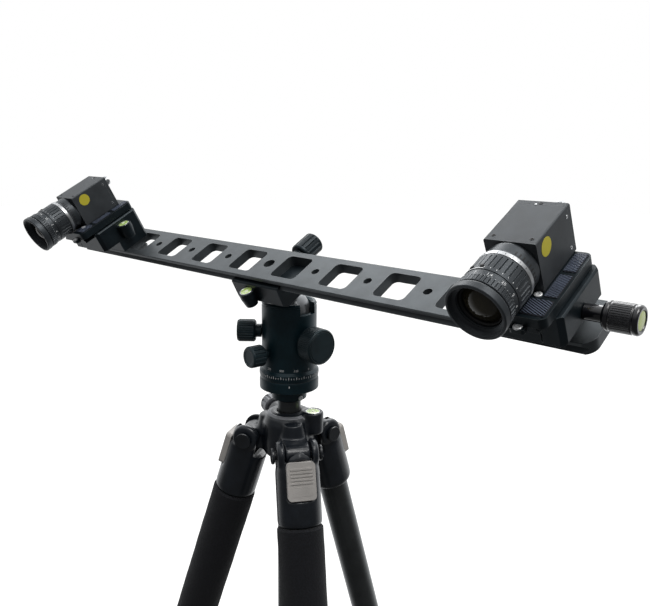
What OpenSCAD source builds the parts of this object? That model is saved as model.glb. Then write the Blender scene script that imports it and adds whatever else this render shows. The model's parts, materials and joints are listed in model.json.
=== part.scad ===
// Stereo camera rig: two industrial cameras on a dovetail rail, on a ball head and tripod.
// Z = 0 is the floor, the column stands on the Z axis, the rail runs along X and the
// lenses look towards -Y. The rail's own frame has its origin on the rail's top face.

/* [Pose] */
// Forward pitch of the rail and cameras about the ball centre
tilt = 28.5; // [0:0.5:34]
// Spread of each leg from the vertical
spread = 17.5; // [14:0.5:24]

/* [Rail] */
// Length of the rail
rail_len = 530; // [480:10:600]
// Width of the rail's dovetail
rail_w = 38; // [36:1:42]
// Thickness of the rail
rail_t = 8; // [8:1:12]
// Distance between neighbouring windows
pitch = 50; // [46:1:56]
// Side of each square window
window = 26; // [20:1:30]
// Height of the rail's top face above the ball centre
rail_up = 46; // [46:1:50]

/* [Cameras] */
// Side of the square camera section
cam_w = 29; // [26:1:32]
// Length of each camera body
cam_len = 38; // [34:1:44]
// Right camera's place along the rail
right_x = 233; // [225:1:236]
// Left camera's place along the rail
left_x = -209; // [-236:1:-200]
// How far the left camera sits ahead of the right one on its plate
left_ahead = 8; // [0:1:9]

/* [Lenses] */
// Length of each lens ahead of the camera
lens_len = 40; // [38:1:44]
// Radius of the lens at its front rim
lens_r = 16.5; // [16:0.1:17.5]

/* [Head] */
// Outside radius of the ball housing
housing_r = 22.5; // [22:0.5:25]
// Radius of the ball
ball_r = 17; // [16.5:0.1:17]

/* [Tripod] */
// Radius of the centre column
column_r = 9.75; // [9:0.25:10]
// Length of the centre column
column_len = 250; // [180:10:300]
// Distance of each leg hinge from the column's axis
hinge_r = 34; // [34:0.5:38]
// Radius of a leg's upper tube
tube_r = 13; // [12:0.5:13.5]
// Radius of the foam grips
grip_r = 18.7; // [17:0.1:19]
// Distance from a leg hinge to the centre of its foot
leg_len = 546; // [500:10:620]

/* [Hidden] */
$fn = 48;
eps = 0.01;
run = 0.05; // radial running clearance of shafts and tubes
gap = 0.3; // clearance between parts that only pass each other

// heights above the floor, and heights below the ball centre
foot_r = 14;
foot_up = 12.5; // foot centre above the floor, which leaves a flat contact patch
hinge_z = leg_len * cos(spread) + foot_up;
ball_z = hinge_z + 112;
neck_z = -77; // top of the bare column
base_z = -56; // the pan joint's face

// the rail's section
notch = 2.5; // depth of the dovetail groove
chamfer = 0.6;
deck_t = 2.5; // rail thickness above the groove
small_hole_r = 3.2;
centre_hole_r = 4.76;

// the head clamp, in the rail's frame
head_clamp_len = 52;
head_clamp_h = 16;
head_front = -22;
head_seat = -rail_t - 0.1;
head_screw_z = -13.5;

// the camera clamps and plates, in the rail's frame
clamp_y = -12;
clamp_len = 47;
clamp_half = 27;
plate_z = 25; // bottom of the plate's dovetail
deck_z = 30; // bottom of the plate's deck
plate_top = 36;
plate_w = 48;
plate_y0 = -46;
plate_y1 = 12;
screw_z = 16.5;
screw_r = 3;
clamp_bolt_x = [-200, 0, 225]; // bolts through the rail, indexed by side + 1
jaw_u = 14.6; // inner face of a camera clamp's moving jaw
reach_z = 10.5; // underside of a camera clamp where it reaches ahead of the rail
cam_back = 13; // rear face of the right camera
lens_z = plate_top + cam_w / 2;

// legs: names of the three stations and their azimuths
FRONT = 0;
LEFT = 1;
REAR = 2;
leg_az = [-34, -154, 86];
socket_end = -55; // bottom of a leg's casting, measured down the leg
upper_end = -440;
lower_top = -60;
lower_r = tube_r - 1.5 - run;
ear_w = 34; // across the two ears of a leg's casting
casting_r = 18;

RIGHT_CAM = 1;
LEFT_CAM = -1;

// ---------------------------------------------------------------- frames

module in_head() {
  translate([0, 0, ball_z]) children();
}

module in_rail() {
  in_head() rotate([tilt, 0, 0]) translate([0, 0, rail_up]) children();
}

module in_leg(i) {
  translate([0, 0, hinge_z]) rotate([0, 0, leg_az[i]]) translate([hinge_r, 0, 0])
    rotate([0, -spread, 0]) children();
}

// a camera clamp's frame: its X axis points out along the clamp's own knob
module in_clamp(side) {
  in_rail() translate([side == RIGHT_CAM ? right_x : left_x, clamp_y, 0])
    rotate([0, 0, side == RIGHT_CAM ? 0 : 180]) children();
}

// a plate's frame: X is measured from its own camera
module in_plate(side) {
  in_rail() translate([side == RIGHT_CAM ? right_x : left_x, 0, 0]) children();
}

// front face of a camera, in its plate's frame
function cam_front(side) = cam_back - cam_len - (side == LEFT_CAM ? left_ahead : 0);

// a lens's frame: +Z runs out of the front of the camera along the optical axis
module in_lens(side) {
  in_plate(side) translate([0, cam_front(side), lens_z]) rotate([90, 0, 0]) children();
}

// ---------------------------------------------------------------- shared shapes

module ring(r1, r0, h) {
  difference() {
    cylinder(r = r1, h = h);
    translate([0, 0, -1]) cylinder(r = r0, h = h + 2);
  }
}

// a rectangle with round corners, in the XY plane
module rounded_rect(w, d, r) {
  square([w - 2 * r, d], center = true);
  square([w, d - 2 * r], center = true);
  for (x = [-1, 1], y = [-1, 1])
    translate([x * (w / 2 - r), y * (d / 2 - r)]) circle(r = r);
}

// a length of the section drawn in (Y, Z), laid along X and centred on it
module along_x(len) {
  translate([-len / 2, 0, 0]) rotate([90, 0, 90]) linear_extrude(len) children();
}

// a turned knob along +Z: shaft below zero, neck, then a head with grip flutes
module knob(shaft_r, shaft_len, neck_r, neck_len, head_r, head_len, flutes, flute_r) {
  translate([0, 0, -shaft_len]) cylinder(r = shaft_r, h = shaft_len + eps);
  cylinder(r = neck_r, h = neck_len + 1);
  translate([0, 0, neck_len]) difference() {
    rotate_extrude() polygon([
      [0, 0], [head_r - 1.5, 0], [head_r, 1.5], [head_r, head_len - 1],
      [head_r - 1, head_len], [0, head_len]
    ]);
    for (i = [0:flutes - 1])
      rotate([0, 0, i * 360 / flutes]) translate([head_r + flute_r * 0.55, 0, 2.5])
        cylinder(r = flute_r, h = head_len, $fn = 24);
  }
}

// ---------------------------------------------------------------- tripod

module spider() color("dimgray") difference() {
  union() {
    translate([0, 0, hinge_z - 12]) rotate_extrude() polygon([
      [0, 0], [20, 0], [22, 2], [22, 30], [19, 35], [14, 38], [0, 38]
    ]);
    for (az = leg_az) translate([0, 0, hinge_z]) rotate([0, 0, az]) {
      translate([hinge_r / 2, 0, 0]) cube([hinge_r, 21, 18], center = true);
      translate([hinge_r, 10.5, 0]) rotate([90, 0, 0]) cylinder(r = 9, h = 21);
    }
    // boss of the column lock
    translate([0, 0, hinge_z + 15]) rotate([0, 90, 157]) cylinder(r = 8, h = 31);
    // seat of the bubble level
    translate([21 * cos(26), 21 * sin(26), hinge_z + 10]) cylinder(r = 9, h = 17);
  }
  translate([0, 0, hinge_z - 20]) cylinder(r = column_r + run, h = 60);
  for (az = leg_az) translate([0, 0, hinge_z]) rotate([0, 0, az])
    translate([hinge_r, 20, 0]) rotate([90, 0, 0]) cylinder(r = 4 + run, h = 40);
  translate([0, 0, hinge_z + 15]) rotate([0, 90, 157]) translate([0, 0, 9])
    cylinder(r = 3 + run, h = 30);
  translate([21 * cos(26), 21 * sin(26), hinge_z + 23]) cylinder(r = 6.5, h = 10);
}

module tripod_level() color("yellowgreen")
  translate([21 * cos(26), 21 * sin(26), hinge_z + 23]) cylinder(r = 6.5, h = 3.5);

module leg_hinge_bolts() color("silver") for (az = leg_az)
  translate([0, 0, hinge_z]) rotate([0, 0, az]) translate([hinge_r, 0, 0]) rotate([90, 0, 0]) {
    half = casting_r + gap;
    translate([0, 0, -half]) cylinder(r = 4, h = 2 * half);
    for (s = [-1, 1]) translate([0, 0, s * (half + 1.2)])
      cylinder(r = 6.5, h = 2.4 + eps, center = true);
  }

module column_lock_knob() color("gray")
  translate([0, 0, hinge_z + 15]) rotate([0, 90, 157]) translate([0, 0, 31 + gap])
    knob(3, 20, 5, 3, 9, 15, 10, 1.4);

module column_tube() color("dimgray")
  translate([0, 0, ball_z + neck_z - column_len]) ring(column_r, column_r - 1.6, column_len);

module column_top() color("black") translate([0, 0, ball_z + neck_z]) {
  rotate_extrude() polygon([[0, 0], [10, 0], [14.6, 2.5], [14.6, 8], [0, 8]]);
  cylinder(r = centre_hole_r, h = 20);
  translate([0, 0, -20]) cylinder(r = column_r - 1.6, h = 20 + eps);
}

module leg_top(i) color("black") in_leg(i) difference() {
  union() {
    translate([0, 0, socket_end]) cylinder(r = casting_r, h = -socket_end);
    translate([0, ear_w / 2, 0]) rotate([90, 0, 0]) cylinder(r = 11, h = ear_w);
  }
  // slot for the spider's arm, and relief on the side of the hub
  translate([-30, -10.5 - gap, -13]) cube([42, 21 + 2 * gap, 30]);
  translate([-31, -20, -14.5]) cube([20, 40, 30]);
  translate([0, 20, 0]) rotate([90, 0, 0]) cylinder(r = 4 + run, h = 40);
  // the upper tube's socket
  translate([0, 0, socket_end - 1]) cylinder(r = tube_r, h = 38);
  // recess of the angle tab
  translate([13, -11.8, -34.3]) cube([10, 23.6, 31]);
}

module leg_tab(i) color("silver") in_leg(i) difference() {
  translate([13.3, -11.5, -34]) cube([6, 23, 30]);
  for (k = [0:4]) translate([18.7, -9, -7 - 2.6 * k]) cube([2, 18, 1.2]);
}

module leg_tube(i) color("dimgray") in_leg(i)
  translate([0, 0, upper_end]) ring(tube_r, tube_r - 1.5, -upper_end - 18);

module leg_grip(i) color("black") in_leg(i)
  translate([0, 0, -235]) ring(grip_r, tube_r, 235 + socket_end - 1);

module leg_lock(i) color("black") in_leg(i) translate([0, 0, upper_end - 22]) difference() {
  union() {
    cylinder(r = 16.5, h = 42);
    translate([0, 0, 4]) cylinder(r = 17.5, h = 34);
  }
  translate([0, 0, -1]) cylinder(r = lower_r + 2 * run, h = 30);
  translate([0, 0, 22 - gap]) cylinder(r = tube_r + run, h = 30);
}

module leg_lower(i) color("dimgray") in_leg(i)
  translate([0, 0, -leg_len + 4]) ring(lower_r, lower_r - 1.5, leg_len - 4 + lower_top);

module leg_foot(i) color("black") intersection() {
  in_leg(i) translate([0, 0, -leg_len]) difference() {
    union() {
      sphere(r = foot_r);
      cylinder(r = foot_r, h = 30);
    }
    translate([0, 0, 4]) cylinder(r = lower_r, h = 40);
  }
  translate([-400, -400, 0]) cube(800);
}

// ---------------------------------------------------------------- ball head

module head_base() color("black") in_head() difference() {
  union() {
    rotate_extrude() polygon([
      [0, -69], [15, -69], [24.5, -65], [24.5, -58], [24, base_z], [0, base_z]
    ]);
    translate([0, 0, base_z - 1]) cylinder(r = 12, h = 7);
  }
  translate([0, 0, -70]) cylinder(r = centre_hole_r, h = 14);
}

// azimuth, height, and the radius at which each knob's shaft ends
main_knob_at = [-4, -23.5, 19.5];
drag_knob_at = [-137, -18, 19.5];
pan_knob_at = [-98, -34, 13.5];

module at_knob(p, r) {
  in_head() rotate([0, 0, p[0]]) translate([r, 0, p[1]]) rotate([0, 90, 0]) children();
}

module head_housing() color("black") difference() {
  union() {
    in_head() rotate_extrude() polygon([
      [0, base_z + 0.3], [24, base_z + 0.3], [24.5, -53], [24.5, -50], [housing_r, -48],
      [housing_r, 4], [housing_r - 0.6, 5], [housing_r, 6], [housing_r - 1, 8], [0, 8]
    ]);
    at_knob(main_knob_at, 15) cylinder(r = 9, h = 9.5);
  }
  in_head() {
    sphere(r = ball_r + 1.05, $fn = 96);
    cylinder(r = ball_r + 1.05, h = 20);
    translate([0, 0, 6.5]) cylinder(r1 = ball_r + 1.05, r2 = ball_r + 3.05, h = 2);
    translate([0, 0, base_z - 1]) cylinder(r = 12 + run, h = 8);
    // notch in the rim that lets the stem drop
    translate([0, -8, -1]) cube([40, 16, 20]);
  }
  at_knob(main_knob_at, main_knob_at[2] - 1) cylinder(r = 4 + run, h = 30);
  at_knob(drag_knob_at, drag_knob_at[2] - 1) cylinder(r = 3 + run, h = 30);
  at_knob(pan_knob_at, pan_knob_at[2] - 1) cylinder(r = 3 + run, h = 30);
}

module main_knob() color("black") at_knob(main_knob_at, 24.5 + gap)
  knob(4, 24.5 + gap - main_knob_at[2], 8, 0.8, 14.3, 14.7, 18, 1.2);

module drag_knob() color("black") at_knob(drag_knob_at, housing_r + gap)
  knob(3, housing_r + gap - drag_knob_at[2], 5.5, 4.5, 9.25, 15, 10, 1.3);

module pan_knob() color("black") at_knob(pan_knob_at, 24.5 + gap)
  knob(3, 24.5 + gap - pan_knob_at[2], 5.5, 2, 8.75, 13, 8, 1.6);

// a belt of the spherical liner that carries the ball
module ball_race() color("silver") in_head() rotate([tilt, 0, 0]) intersection() {
  difference() {
    sphere(r = ball_r + 0.95, $fn = 96);
    sphere(r = ball_r + run, $fn = 96);
  }
  translate([-5, -30, -30]) cube([10, 60, 26]);
}

module ball_stem() color("gray") in_head() rotate([tilt, 0, 0]) {
  sphere(r = ball_r, $fn = 96);
  cylinder(r = 7, h = rail_up + head_seat - head_clamp_h + eps);
}

// ---------------------------------------------------------------- clamps

// section (Y, Z) of a clamp jaw's lip that hooks over a dovetail at half width w:
// it starts on the seat z0, leans in over the flank, and is cut off on top
function lip(w, outer, z0, top) = [
  [outer, z0], [outer, top - 1], [outer - 1, top], [w - notch + 0.5, top],
  [w + 0.3, z0 + 1.1], [w + 0.3, z0]
];

module head_clamp() color("black") in_rail() {
  lug = [-7, -25.5, -9.5];
  difference() {
    union() {
      along_x(head_clamp_len) polygon([
        [head_front, head_seat], [head_front, head_seat - 13], [head_front + 4, head_seat - 16],
        [14, head_seat - 16], [14, head_seat]
      ]);
      mirror([0, 1, 0]) along_x(head_clamp_len)
        polygon(lip(rail_w / 2, -head_front, head_seat, -4.8));
      translate(lug - [0, 0, 13]) cylinder(r1 = 5, r2 = 6.5, h = 8);
      translate(lug - [0, 0, 5]) cylinder(r = 6.5, h = 5);
    }
    translate([0, -12, head_screw_z]) rotate([-90, 0, 0]) cylinder(r = screw_r + run, h = 40);
    translate(lug - [0, 0, 3]) cylinder(r = 4.6, h = 5);
    translate([0, 0, -40]) cylinder(r = 3.3, h = 40);
  }
}

module head_clamp_jaw() color("black") in_rail() difference() {
  union() {
    along_x(head_clamp_len) polygon([
      [14 + gap, head_seat], [14 + gap, head_seat - 14], [21, head_seat - 14],
      [24, head_seat - 11], [24, head_seat]
    ]);
    along_x(head_clamp_len) polygon(lip(rail_w / 2, 24, head_seat, -4.8));
  }
  translate([0, 0, head_screw_z]) rotate([-90, 0, 0]) cylinder(r = screw_r + run, h = 40);
}

module head_clamp_knob() color("black") in_rail()
  translate([0, 24 + gap, head_screw_z]) rotate([-90, 0, 0])
    knob(screw_r, 33, 5.5, 6.5, 9, 20, 12, 1.2);

// where a camera clamp is bolted to the rail's centre line, in the clamp's frame
module at_bolt(side) {
  x0 = side == RIGHT_CAM ? right_x : left_x;
  translate([side * (clamp_bolt_x[side + 1] - x0), -side * clamp_y, 0]) children();
}

// body of a camera clamp; X runs towards its knob
module camera_clamp(side) color("black") in_clamp(side) {
  lug = [-clamp_half - 3.5, side * 4, 24.5];
  difference() {
    union() {
      translate([-clamp_half, -clamp_len / 2, 0]) cube([clamp_half + 14, clamp_len, plate_z - 0.1]);
      rotate([0, 0, 90]) along_x(clamp_len)
        polygon(lip(rail_w / 2, clamp_half, plate_z - 0.1, deck_z - 0.8));
      translate(lug - [0, 0, 14]) cylinder(r1 = 5, r2 = 6.5, h = 9);
      translate(lug - [0, 0, 5]) cylinder(r = 6.5, h = 5);
    }
    translate([-12, 0, screw_z]) rotate([0, 90, 0]) cylinder(r = screw_r + run, h = 40);
    translate(lug - [0, 0, 3]) cylinder(r = 4.6, h = 5);
    at_bolt(side) {
      translate([0, 0, -1]) cylinder(r = 3, h = 40);
      translate([0, 0, 18]) cylinder(r = 5.5, h = 20);
    }
    // the part that reaches ahead of the rail has its underside above it
    translate([0, side * (-rail_w / 2 - clamp_y - 20), reach_z / 2 - 1])
      cube([100, 40, reach_z + 2], center = true);
    // the edge chamfers that catch the light
    for (y = [-1, 1]) translate([-clamp_half, y * clamp_len / 2, 0]) rotate([0, 0, 45])
      cube([4, 4, 120], center = true);
  }
}

module camera_clamp_jaw(side) color("black") in_clamp(side) difference() {
  union() {
    rotate([0, 0, -90]) along_x(clamp_len) polygon([
      [jaw_u, plate_z - 0.1], [jaw_u, reach_z], [clamp_half - 1.5, reach_z],
      [clamp_half, reach_z + 1.5], [clamp_half, plate_z - 0.1]
    ]);
    rotate([0, 0, -90]) along_x(clamp_len)
      polygon(lip(rail_w / 2, clamp_half, plate_z - 0.1, deck_z - 0.8));
  }
  translate([0, 0, screw_z]) rotate([0, 90, 0]) cylinder(r = screw_r + run, h = 40);
  for (y = [-1, 1]) translate([clamp_half, y * clamp_len / 2, 0]) rotate([0, 0, 45])
    cube([4, 4, 120], center = true);
}

module camera_clamp_knob(side) color("black") in_clamp(side)
  translate([clamp_half + gap, 0, screw_z]) rotate([0, 90, 0])
    knob(screw_r, 36, 4.5, 10.4, 7.9, 18.5, 20, 0.6);

// ---------------------------------------------------------------- rail

module rail_section() {
  h = rail_w / 2;
  polygon([
    [-h + chamfer, 0], [h - chamfer, 0], [h, -chamfer], [h, -deck_t],
    [h - notch, -deck_t - 2.25], [h, -deck_t - 4.5], [h, -rail_t + chamfer],
    [h - chamfer, -rail_t], [-h + chamfer, -rail_t], [-h, -rail_t + chamfer],
    [-h, -deck_t - 4.5], [-h + notch, -deck_t - 2.25], [-h, -deck_t], [-h, -chamfer]
  ]);
}

module rail() color("dimgray") in_rail() difference() {
  intersection() {
    along_x(rail_len) rail_section();
    translate([0, 0, -20]) linear_extrude(40) rounded_rect(rail_len, rail_w + 1, 9);
  }
  for (k = [-4.5:1:4.5]) translate([k * pitch, 0, -20]) linear_extrude(40)
    rounded_rect(window, window, 4);
  for (k = [-4:4]) translate([k * pitch, 0, -20])
    cylinder(r = k == 0 ? centre_hole_r : small_hole_r, h = 40);
}

// bolts that hold the camera clamps, with a strap under the rail across each opening
module clamp_screws() color("silver") for (side = [RIGHT_CAM, LEFT_CAM]) in_clamp(side)
  at_bolt(side) {
    translate([0, 0, -rail_t - 2]) cylinder(r = 3, h = rail_t + 20 + eps);
    translate([0, 0, 18]) cylinder(r = 5, h = 5);
    translate([0, 0, -rail_t - 2.5]) linear_extrude(2.5) rounded_rect(34, 14, 3);
    translate([0, 0, -rail_t - 5]) cylinder(r = 5, h = 3);
  }

// ---------------------------------------------------------------- cameras

module plate(side) color("black") in_plate(side) {
  len = plate_y1 - plate_y0;
  mid = (plate_y1 + plate_y0) / 2;
  h = rail_w / 2;
  difference() {
    union() {
      translate([0, mid, deck_z]) linear_extrude(plate_top - deck_z)
        rounded_rect(plate_w, len, 4);
      translate([0, mid, 0]) rotate([0, 0, 90]) along_x(len - 4) polygon([
        [-h, plate_z], [h, plate_z], [h, plate_z + 0.7], [h - notch, plate_z + 3.2],
        [h - notch, deck_z + eps], [-h + notch, deck_z + eps], [-h + notch, plate_z + 3.2],
        [-h, plate_z + 0.7]
      ]);
    }
    translate([0, mid, plate_z - 1]) linear_extrude(20) rounded_rect(6.6, 42, 3.29);
    translate([0, mid, plate_z - 1]) linear_extrude(5) rounded_rect(12, 48, 5.9);
    // trough under the lens
    translate([0, cam_front(side), lens_z]) rotate([90, 0, 0]) cylinder(r = 16.2, h = 60);
  }
}

module in_camera(side) {
  in_plate(side) translate([0, cam_front(side) + cam_len, lens_z]) rotate([90, 0, 0])
    children();
}

// the square shell, open at the back; Z runs forward from the camera's rear face
module housing(side) color("dimgray") in_camera(side) difference() {
  translate([0, 0, 3]) linear_extrude(cam_len - 3) rounded_rect(cam_w, cam_w, 1);
  translate([0, 0, 2]) linear_extrude(cam_len - 6) square(cam_w - 4, center = true);
  translate([0, 0, 10]) cylinder(r = 12.7, h = cam_len);
  for (x = [-1, 1]) translate([x * (cam_w / 2 - 4), cam_w / 2 - 1.2, cam_len - 4])
    rotate([-90, 0, 0]) cylinder(r = 0.9, h = 3, $fn = 24);
}

module rear_panel(side) color("dimgray") in_camera(side) {
  linear_extrude(3) rounded_rect(cam_w, cam_w, 1);
  // network socket, round power socket and its nut
  translate([-3, -4, -3.5]) linear_extrude(3.5) rounded_rect(17, 14, 1);
  translate([7, 8.5, -5]) cylinder(r = 4.2, h = 5);
  translate([-7, 8.5, -4]) cylinder(r = 2.4, h = 4);
  for (x = [-1, 1]) translate([x * 11, -12, -1]) cylinder(r = 1.6, h = 1);
}

module sensor_board(side) color("green") in_camera(side) {
  translate([0, 0, 20]) linear_extrude(1.6) square(cam_w - 5, center = true);
  translate([0, 0, 21.6]) linear_extrude(2) square([12, 10], center = true);
}

// stations along a lens, measured forward from the camera's front face
band_at = 10;
ap_at = 12;
scale_at = 25;
sleeve_r = 13;

module lens_barrel(side) color("black") in_lens(side) rotate_extrude() polygon([
  [9, -3.5], [12.6, -3.5], [12.6, 0.1], [14, 0.1], [14.6, 2], [14.6, 8], [15.6, band_at - 0.8],
  [15.6, ap_at], [sleeve_r, ap_at], [sleeve_r, 31], [11.9, 31], [11.9, 18], [9, 12]
]);

module aperture_ring(side) color("black") in_lens(side) difference() {
  translate([0, 0, ap_at + gap]) ring(15.6, sleeve_r + run, scale_at - ap_at - gap);
  for (i = [0:35]) rotate([0, 0, i * 10]) translate([15.9, 0, ap_at + 1.5])
    cylinder(r = 0.6, h = scale_at - ap_at - 3, $fn = 16);
}

// rotating front of the lens: scale band, ribbed grip, groove, front rim and filter recess
module focus_ring(side) color("black") in_lens(side) difference() {
  rotate_extrude() polygon([
    [sleeve_r + run, scale_at + gap], [15.4, scale_at + gap], [15.4, 29.5], [16, 29.5],
    [16, 34], [15, 34.3], [15, 35], [lens_r, 35.6], [lens_r, lens_len - 0.4],
    [lens_r - 0.4, lens_len], [14.8, lens_len], [13.6, 37], [12.4, 34.5], [12.4, 33],
    [sleeve_r + run, 32.5]
  ]);
  for (i = [0:44]) rotate([0, 0, i * 8]) translate([16.35, 0, 30])
    cylinder(r = 0.55, h = 3.4, $fn = 16);
}

// front element and its cell, seen at the bottom of the filter recess
module glass(side) color("lightcyan") in_lens(side) rotate_extrude() polygon([
  [0, 29], [11.4, 29], [11.4, 33.2],
  for (a = [40:-8:0]) [14.4 * sin(a), 22.9 + 14.4 * cos(a)]
]);

// ---------------------------------------------------------------- assembly

spider();
tripod_level();
leg_hinge_bolts();
column_lock_knob();
column_tube();
column_top();
leg_top(FRONT);  // front_leg_top
leg_tube(FRONT);  // front_leg_tube
leg_grip(FRONT);  // front_leg_grip
leg_lock(FRONT);  // front_leg_lock
leg_lower(FRONT);  // front_leg_lower
leg_foot(FRONT);  // front_leg_foot
leg_tab(FRONT);  // front_leg_tab
leg_top(LEFT);  // left_leg_top
leg_tube(LEFT);  // left_leg_tube
leg_grip(LEFT);  // left_leg_grip
leg_lock(LEFT);  // left_leg_lock
leg_lower(LEFT);  // left_leg_lower
leg_foot(LEFT);  // left_leg_foot
leg_tab(LEFT);  // left_leg_tab
leg_top(REAR);  // rear_leg_top
leg_tube(REAR);  // rear_leg_tube
leg_lock(REAR);  // rear_leg_lock
leg_lower(REAR);  // rear_leg_lower
leg_foot(REAR);  // rear_leg_foot
leg_tab(REAR);  // rear_leg_tab
head_base();
head_housing();
ball_race();
ball_stem();
main_knob();
drag_knob();
pan_knob();
head_clamp();
head_clamp_jaw();
head_clamp_knob();
rail();
clamp_screws();
camera_clamp(RIGHT_CAM);  // right_clamp
camera_clamp_jaw(RIGHT_CAM);  // right_clamp_jaw
camera_clamp_knob(RIGHT_CAM);  // right_clamp_knob
plate(RIGHT_CAM);  // right_plate
housing(RIGHT_CAM);  // right_housing
rear_panel(RIGHT_CAM);  // right_rear_panel
sensor_board(RIGHT_CAM);  // right_sensor_board
lens_barrel(RIGHT_CAM);  // right_lens_barrel
aperture_ring(RIGHT_CAM);  // right_aperture_ring
focus_ring(RIGHT_CAM);  // right_focus_ring
glass(RIGHT_CAM);  // right_glass
camera_clamp(LEFT_CAM);  // left_clamp
camera_clamp_jaw(LEFT_CAM);  // left_clamp_jaw
camera_clamp_knob(LEFT_CAM);  // left_clamp_knob
plate(LEFT_CAM);  // left_plate
housing(LEFT_CAM);  // left_housing
rear_panel(LEFT_CAM);  // left_rear_panel
sensor_board(LEFT_CAM);  // left_sensor_board
lens_barrel(LEFT_CAM);  // left_lens_barrel
aperture_ring(LEFT_CAM);  // left_aperture_ring
focus_ring(LEFT_CAM);  // left_focus_ring
glass(LEFT_CAM);  // left_glass
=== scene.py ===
# Stereo camera rig: materials, fine pieces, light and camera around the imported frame.
# Shapes are written in millimetres in the frame of the part they belong to, and every
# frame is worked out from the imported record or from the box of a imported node.
import json
import math

import bmesh
import bpy
from mathutils import Matrix, Vector

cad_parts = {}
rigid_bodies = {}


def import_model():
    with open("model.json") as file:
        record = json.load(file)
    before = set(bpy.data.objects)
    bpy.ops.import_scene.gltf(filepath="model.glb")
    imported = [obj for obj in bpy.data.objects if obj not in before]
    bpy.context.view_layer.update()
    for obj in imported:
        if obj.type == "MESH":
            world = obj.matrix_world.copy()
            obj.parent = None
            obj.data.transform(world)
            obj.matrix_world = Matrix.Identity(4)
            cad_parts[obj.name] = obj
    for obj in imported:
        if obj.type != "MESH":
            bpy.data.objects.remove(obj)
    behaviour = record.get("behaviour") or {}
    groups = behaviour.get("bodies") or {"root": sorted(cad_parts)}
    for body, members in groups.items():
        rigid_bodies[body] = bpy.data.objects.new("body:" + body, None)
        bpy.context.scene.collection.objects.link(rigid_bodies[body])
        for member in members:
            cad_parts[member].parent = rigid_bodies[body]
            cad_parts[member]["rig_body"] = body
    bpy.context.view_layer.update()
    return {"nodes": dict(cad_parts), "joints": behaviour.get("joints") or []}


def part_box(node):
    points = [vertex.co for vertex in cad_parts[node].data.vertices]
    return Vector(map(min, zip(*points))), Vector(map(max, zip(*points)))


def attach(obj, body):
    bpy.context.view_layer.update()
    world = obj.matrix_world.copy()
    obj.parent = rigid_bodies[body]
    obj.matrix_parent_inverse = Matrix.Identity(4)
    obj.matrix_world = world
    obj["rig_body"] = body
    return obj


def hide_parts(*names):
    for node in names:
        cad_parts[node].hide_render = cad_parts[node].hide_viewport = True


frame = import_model()

MM = 0.001
SIDES = ("right", "left")
LEGS = ("front_leg", "left_leg", "rear_leg")

# ---------------------------------------------------------------- frames


def move(x=0.0, y=0.0, z=0.0):
    return Matrix.Translation(Vector((x, y, z)) * MM)


def turn(angle, axis):
    return Matrix.Rotation(math.radians(angle), 4, axis)


def facing(azimuth, height, radius=0.0):
    """A frame whose Z axis points away from the column, from a point of the head's frame."""
    return move(z=height) @ turn(azimuth, "Z") @ move(x=radius) @ turn(90, "Y")


JOINTS = {j["name"]: j for j in frame["joints"]}


def joint_point(name):
    return Vector(JOINTS[name]["pos_m"])


def joint_axis(name):
    return Vector(JOINTS[name]["axis"])


def mid(node):
    low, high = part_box(node)
    return (low + high) / 2


TILT = math.degrees(math.atan2(joint_axis("roll").z, joint_axis("roll").y))
BALL = Matrix.Translation(joint_point("pitch"))
HINGE_Z = joint_point("front_leg_spread").z / MM
RAIL_UP = 46
RIG = BALL @ turn(TILT, "X")
RAIL = RIG @ move(z=RAIL_UP)
HUB = move(z=HINGE_Z)

LENS_Z = 50.5
PLATE_TOP = 36
CAM_W = 29
CAM_LEN = 38
CAM_BACK = {"right": 13, "left": 5}
CLAMP_Y = (RAIL.inverted() @ joint_point("right_clamp_turn")).y / MM


def along_rail(node):
    """Distance of a node's middle from the rail's middle, in mm."""
    return (RAIL.inverted() @ mid(node)).x / MM


def camera_x(side):
    return along_rail(side + "_housing")


def plate_frame(side):
    return RAIL @ move(x=camera_x(side))


def clamp_frame(side):
    return plate_frame(side) @ move(y=CLAMP_Y) @ turn(0 if side == "right" else 180, "Z")


def camera_frame(side):
    """Origin at the middle of the camera's rear face, Z forward, Y up."""
    return plate_frame(side) @ move(y=CAM_BACK[side], z=LENS_Z) @ turn(90, "X")


def lens_frame(side):
    return camera_frame(side) @ move(z=CAM_LEN)


def leg_frame(leg):
    hinge = joint_point(leg + "_spread")
    down = joint_axis(leg + "_extend")
    across = joint_axis(leg + "_spread") * -1
    out = across.cross(-down)
    turned = Matrix((out, across, -down)).transposed().to_4x4()
    return Matrix.Translation(hinge) @ turned


# ---------------------------------------------------------------- materials


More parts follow.
